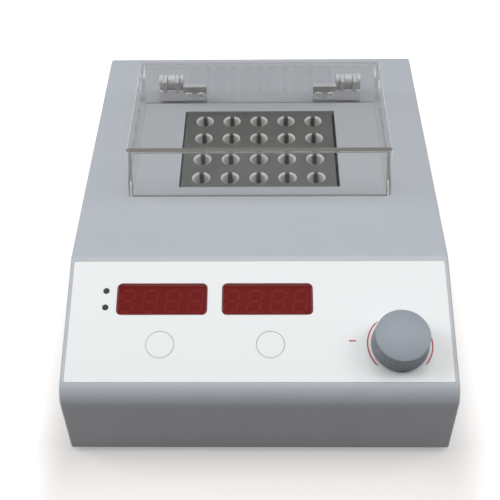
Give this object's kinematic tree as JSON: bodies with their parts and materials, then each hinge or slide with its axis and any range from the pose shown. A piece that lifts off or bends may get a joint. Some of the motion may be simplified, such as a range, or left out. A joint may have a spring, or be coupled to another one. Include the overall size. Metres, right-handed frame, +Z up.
{
  "type": "dry bath incubator",
  "caption": "Benchtop dry bath with an aluminium tube block under a hinged clear lid, a tilted panel with two dark red displays, round keys and a turn-and-push knob.",
  "frame": {"origin": "on the bench under the middle of the housing", "axes": "+X right of someone facing the panel, +Y to the rear, +Z up; the panel's side faces -Y"},
  "size_m": [0.212, 0.28, 0.1142],
  "materials": {
    "housing_plastic": "satin moulded",
    "overlay_film": "matt film",
    "dark_red_acrylic": "gloss",
    "lens_plastic": "gloss",
    "knob_plastic": "satin",
    "clear_acrylic": "clear",
    "black_plastic": "satin moulded",
    "aluminium": "anodised satin",
    "hinge_steel": "satin",
    "steel": "brushed",
    "sheet_steel": "powder coat",
    "brass": "bright",
    "rubber": "matt",
    "circuit_board": "solder mask",
    "insulation": "fibrous",
    "heater_mat": "matt",
    "winding": "enamelled",
    "core_steel": "laminated",
    "fuse_glass": "clear"
  },
  "bodies": {
    "base": {"top_housing": "housing_plastic", "base_tray": "sheet_steel", "rubber_feet": "rubber", "front_overlay": "overlay_film", "display_window_left": "dark_red_acrylic", "display_window_right": "dark_red_acrylic", "upper_indicator": "lens_plastic", "lower_indicator": "lens_plastic", "led_module_left": "black_plastic", "led_module_right": "black_plastic", "display_board": "circuit_board", "encoder_body": "steel", "encoder_nut": "brass", "heat_switch": "black_plastic", "timer_switch": "black_plastic", "cavity_liner": "sheet_steel", "insulation_jacket": "insulation", "insulation_slab": "insulation", "heater_plate": "aluminium", "heater_mat": "heater_mat", "heater_pillars": "steel", "temperature_probe": "steel", "thermal_cutout": "black_plastic", "control_board": "circuit_board", "board_standoffs": "brass", "transformer_core": "core_steel", "transformer_winding": "winding", "heat_sink": "aluminium", "triac": "black_plastic", "mains_inlet": "black_plastic", "switch_bezel": "black_plastic", "hinge_base_left": "hinge_steel", "hinge_base_right": "hinge_steel", "hinge_pin_left": "steel", "hinge_pin_right": "steel"},
    "lid": {"lid_cover": "clear_acrylic", "hinge_leaf_left": "hinge_steel", "hinge_leaf_right": "hinge_steel"},
    "block": {"heating_block": "aluminium"},
    "encoder": {"encoder_rotor": "brass"},
    "knob": {"control_knob": "knob_plastic", "encoder_shaft": "steel"},
    "heat_button": {"heat_key": "overlay_film"},
    "timer_button": {"timer_key": "overlay_film"},
    "rocker": {"power_rocker": "black_plastic"},
    "drawer": {"fuse_drawer": "black_plastic", "fuse": "fuse_glass"}
  },
  "joints": [
    {"name": "lid_hinge", "type": "hinge", "parent": "base", "child": "lid", "pos_m": [0, 0.0921, 0.0927], "axis": [-1, 0, 0], "range_deg": [0, 105]},
    {"name": "block_lift", "type": "slide", "parent": "base", "child": "block", "axis": [0, 0, 1], "range_m": [0, 0.028]},
    {"name": "knob_turn", "type": "hinge", "parent": "base", "child": "encoder", "pos_m": [0.0757, -0.11263, 0.06245], "axis": [0, -0.3469, 0.9379], "continuous": true},
    {"name": "knob_push", "type": "slide", "parent": "encoder", "child": "knob", "axis": [0, 0.3469, -0.9379], "range_m": [0, 0.0005], "stiffness_N_per_m": 4000, "springref_m": -0.0003},
    {"name": "heat_press", "type": "slide", "parent": "base", "child": "heat_button", "axis": [0, 0.3469, -0.9379], "range_m": [0, 0.0005], "stiffness_N_per_m": 1500, "springref_m": -0.0003},
    {"name": "timer_press", "type": "slide", "parent": "base", "child": "timer_button", "axis": [0, 0.3469, -0.9379], "range_m": [0, 0.0005], "stiffness_N_per_m": 1500, "springref_m": -0.0003},
    {"name": "power_switch", "type": "hinge", "parent": "base", "child": "rocker", "pos_m": [-0.022, 0.1346, 0.038], "axis": [-1, 0, 0], "range_deg": [0, 16]},
    {"name": "fuse_slide", "type": "slide", "parent": "base", "child": "drawer", "axis": [0, 1, 0], "range_m": [0, 0.018]}
  ]
}
